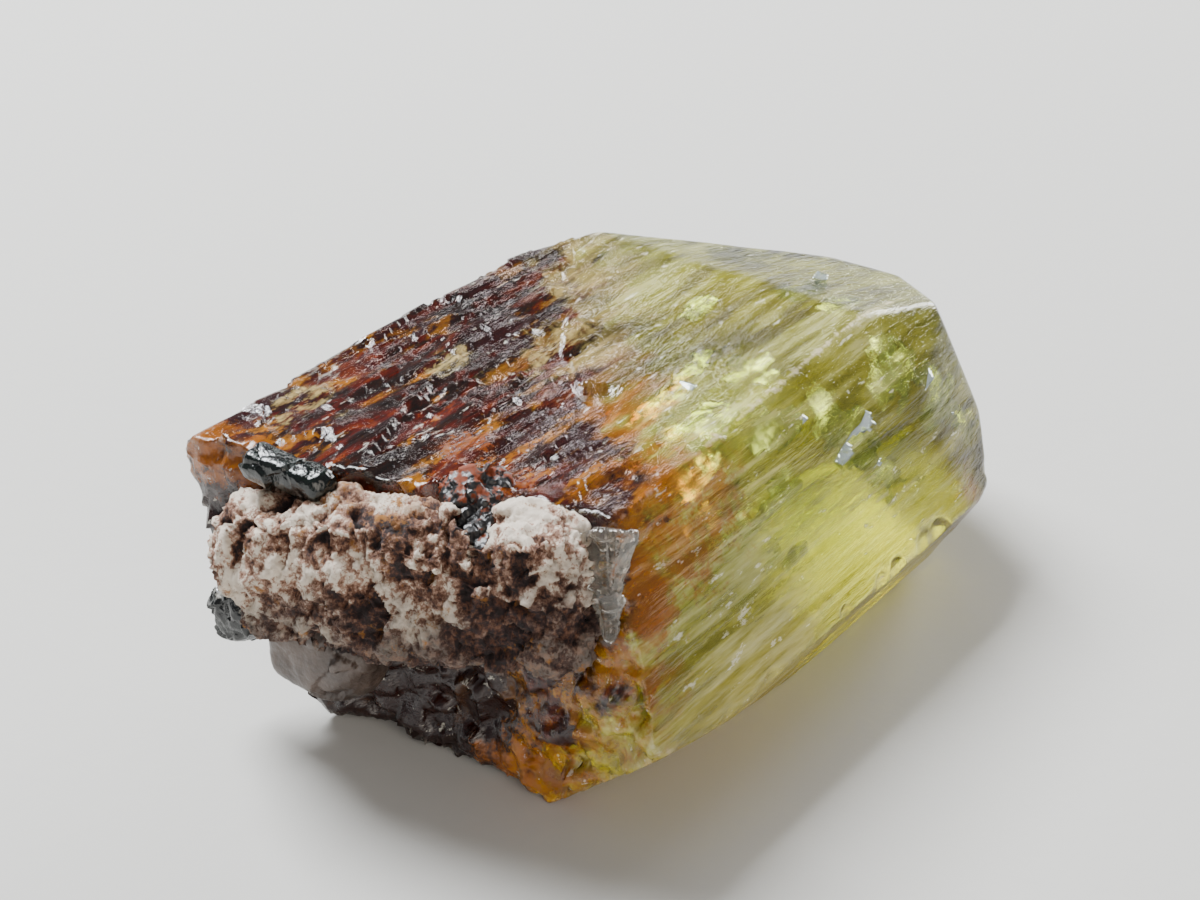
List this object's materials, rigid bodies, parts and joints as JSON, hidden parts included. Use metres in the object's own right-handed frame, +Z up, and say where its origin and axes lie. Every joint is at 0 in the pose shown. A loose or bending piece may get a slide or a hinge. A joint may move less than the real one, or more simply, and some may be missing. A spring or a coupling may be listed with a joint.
{
  "type": "apatite crystal",
  "caption": "Loose yellow-green mineral crystal, a six-sided prism with a worn pyramid at one end and a rough break carrying pale host rock and dark grains at the other.",
  "frame": {"origin": "middle of the specimen's footprint, in the plane of the prism face that it rests on", "axes": "+X along the crystal from the broken end to the pyramid, +Z up from the resting face, -Y towards the wide side of the section"},
  "size_m": [0.0372, 0.0244, 0.0135],
  "materials": {
    "yellow_green_apatite": "glassy",
    "pale_host_rock": "rough",
    "grey_brown_mineral": "satin",
    "coated_black_mineral": "glossy",
    "green_black_mineral": "glossy",
    "iron_ore": "satin",
    "clear_splinter": "glassy"
  },
  "bodies": {
    "root": {"apatite_crystal": "yellow_green_apatite", "matrix_crust": "pale_host_rock", "grey_lump": "grey_brown_mineral", "dark_grain": "coated_black_mineral", "dark_sliver": "green_black_mineral", "ore_wedge": "iron_ore", "clear_chip": "clear_splinter"}
  },
  "joints": []
}
